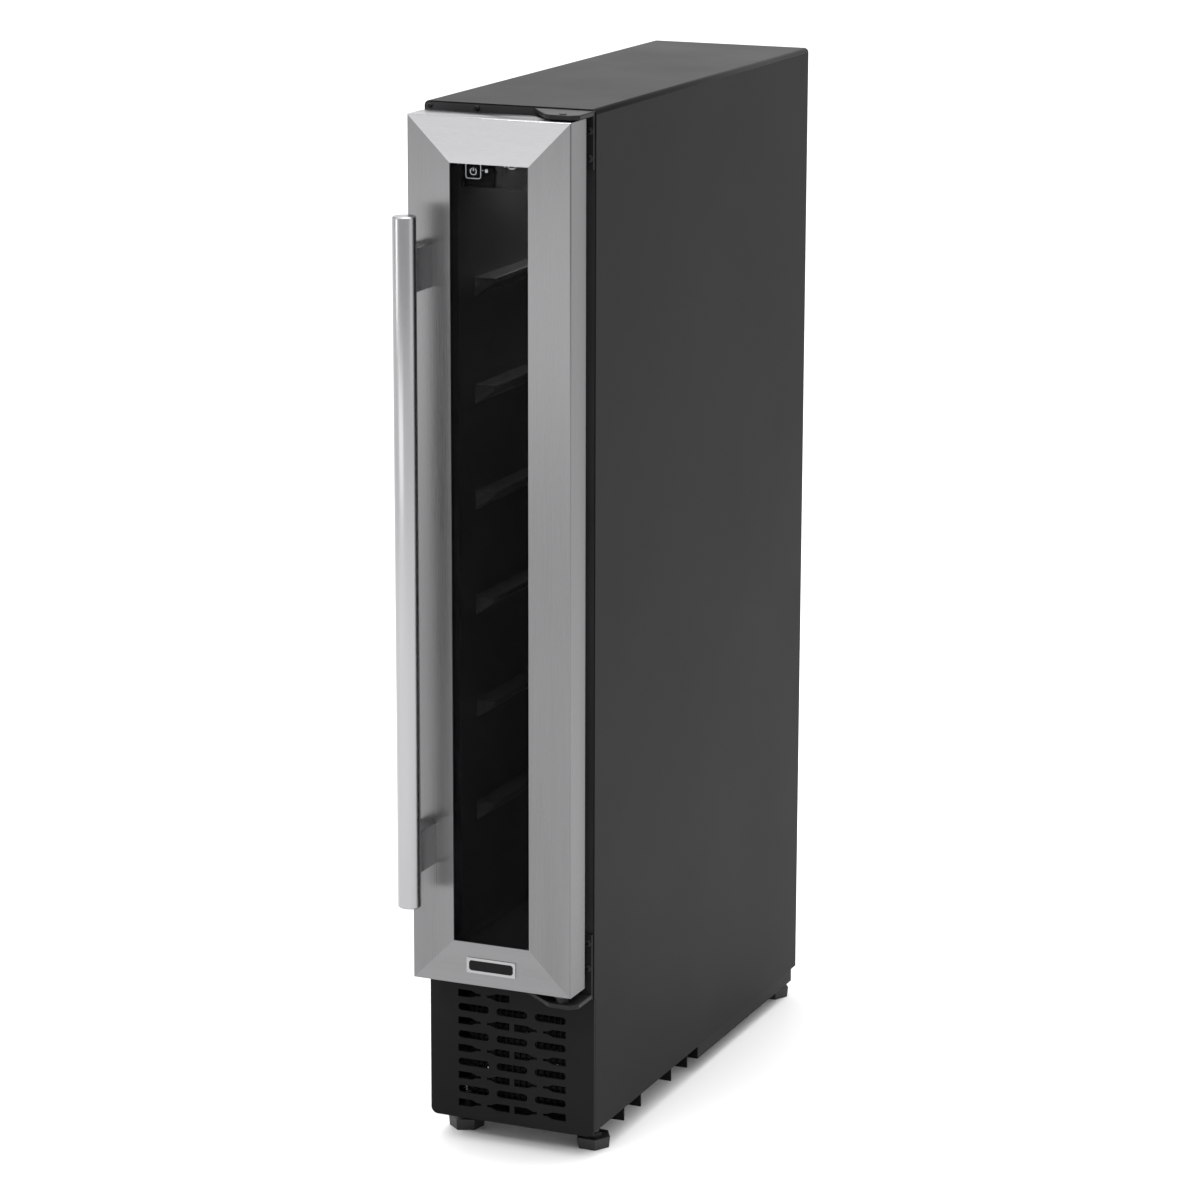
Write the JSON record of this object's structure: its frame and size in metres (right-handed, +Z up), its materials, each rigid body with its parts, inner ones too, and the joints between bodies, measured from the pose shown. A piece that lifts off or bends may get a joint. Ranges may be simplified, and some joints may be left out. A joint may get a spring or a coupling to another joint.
{
  "type": "wine cooler",
  "caption": "Slim built-in wine cooler: tall narrow cabinet with one column of bottle ledges, a glazed steel-framed door with a long bar handle, and a vented plinth.",
  "frame": {"origin": "middle of the overall outline at floor level, under the soles of the feet", "axes": "+Z up, +Y towards the back, +X to the right seen from the front"},
  "size_m": [0.148, 0.57, 0.87],
  "materials": {
    "cabinet_black": "satin black baked enamel on sheet steel",
    "grille_black": "satin black enamel on punched sheet steel",
    "door_steel": "stainless steel, grain along each member, clear satin",
    "handle_steel": "stainless tube, fine brushed, brighter than the door",
    "badge_steel": "plain bright plate",
    "tinted_glass": "clear smoked glass, high gloss",
    "liner_black": "formed plastic, fine texture",
    "rest_black": "moulded plastic, satin",
    "frame_black": "moulded plastic, satin",
    "seal_black": "soft matt magnetic seal",
    "foam": "rigid foam",
    "galvanised": "zinc-coated sheet, spangled",
    "copper": "drawn copper tube",
    "wire_black": "black enamelled wire and tube",
    "cold_plate": "mill finish",
    "fan_black": "glass-filled plastic",
    "panel_gloss": "gloss black touch panel",
    "lamp_cover": "frosted clear plastic",
    "sensor_white": "off-white moulding",
    "foot_black": "hard plastic, scuffed underneath",
    "mount_rubber": "moulded rubber",
    "hinge_black": "thick satin black paint on pressed steel",
    "pin_steel": "bright zinc",
    "tray_plastic": "moulded plastic",
    "bush_nylon": "natural nylon",
    "spacer_bar": "black anodised"
  },
  "bodies": {
    "cabinet": {"outer_shell": "cabinet_black", "front_frame": "cabinet_black", "back_panel": "galvanised", "rear_cover": "galvanised", "insulation": "foam", "inner_liner": "liner_black", "bottle_rests_left": "rest_black", "bottle_rests_right": "rest_black", "duct_cover": "liner_black", "evaporator_plate": "cold_plate", "cabin_fan_frame": "fan_black", "control_housing": "liner_black", "control_glass": "panel_gloss", "light_cover": "lamp_cover", "temperature_sensor": "sensor_white", "front_grille": "grille_black", "front_base_tray": "grille_black", "middle_base_tray": "grille_black", "compressor_base": "grille_black", "foot_bushes": "pin_steel", "top_hinge_bracket": "hinge_black", "bottom_hinge_bracket": "hinge_black", "hinge_pins": "pin_steel", "cabinet_screws": "pin_steel", "compressor": "wire_black", "compressor_mounts": "mount_rubber", "compressor_bolts": "pin_steel", "terminal_box": "tray_plastic", "condenser_coil": "wire_black", "base_fan_frame": "fan_black", "discharge_tube": "copper", "suction_tube": "copper", "filter_dryer": "copper", "evaporation_tray": "tray_plastic", "drain_tube": "tray_plastic", "power_box": "tray_plastic", "power_box_lid": "tray_plastic", "cord_gland": "tray_plastic", "wall_spacers": "foot_black"},
    "door": {"door_frame_top": "door_steel", "door_frame_bottom": "door_steel", "door_frame_left": "door_steel", "door_frame_right": "door_steel", "door_core": "frame_black", "outer_glass": "tinted_glass", "inner_glass": "tinted_glass", "glass_spacer": "spacer_bar", "door_gasket": "seal_black", "handle_bar": "handle_steel", "handle_post_lower": "handle_steel", "handle_post_upper": "handle_steel", "handle_screws": "pin_steel", "badge_plate": "badge_steel", "door_bushes": "bush_nylon"},
    "cabin_fan": {"cabin_fan_rotor": "fan_black"},
    "base_fan": {"base_fan_rotor": "fan_black"},
    "foot_front_left": {"foot_front_left": "foot_black"},
    "foot_front_right": {"foot_front_right": "foot_black"},
    "foot_rear_left": {"foot_rear_left": "foot_black"},
    "foot_rear_right": {"foot_rear_right": "foot_black"}
  },
  "joints": [
    {"name": "door_hinge", "type": "hinge", "parent": "cabinet", "child": "door", "pos_m": [0.058, -0.229, 0.5], "axis": [0, 0, 1], "range_deg": [0, 115]},
    {"name": "cabin_fan_spin", "type": "hinge", "parent": "cabinet", "child": "cabin_fan", "pos_m": [0, 0.228, 0.745], "axis": [0, 1, 0], "continuous": true},
    {"name": "base_fan_spin", "type": "hinge", "parent": "cabinet", "child": "base_fan", "pos_m": [0, -0.126, 0.084], "axis": [0, 1, 0], "continuous": true},
    {"name": "foot_front_left_screw", "type": "slide", "parent": "cabinet", "child": "foot_front_left", "axis": [0, 0, -1], "range_m": [0, 0.015]},
    {"name": "foot_front_right_screw", "type": "slide", "parent": "cabinet", "child": "foot_front_right", "axis": [0, 0, -1], "range_m": [0, 0.015]},
    {"name": "foot_rear_left_screw", "type": "slide", "parent": "cabinet", "child": "foot_rear_left", "axis": [0, 0, -1], "range_m": [0, 0.015]},
    {"name": "foot_rear_right_screw", "type": "slide", "parent": "cabinet", "child": "foot_rear_right", "axis": [0, 0, -1], "range_m": [0, 0.015]}
  ]
}
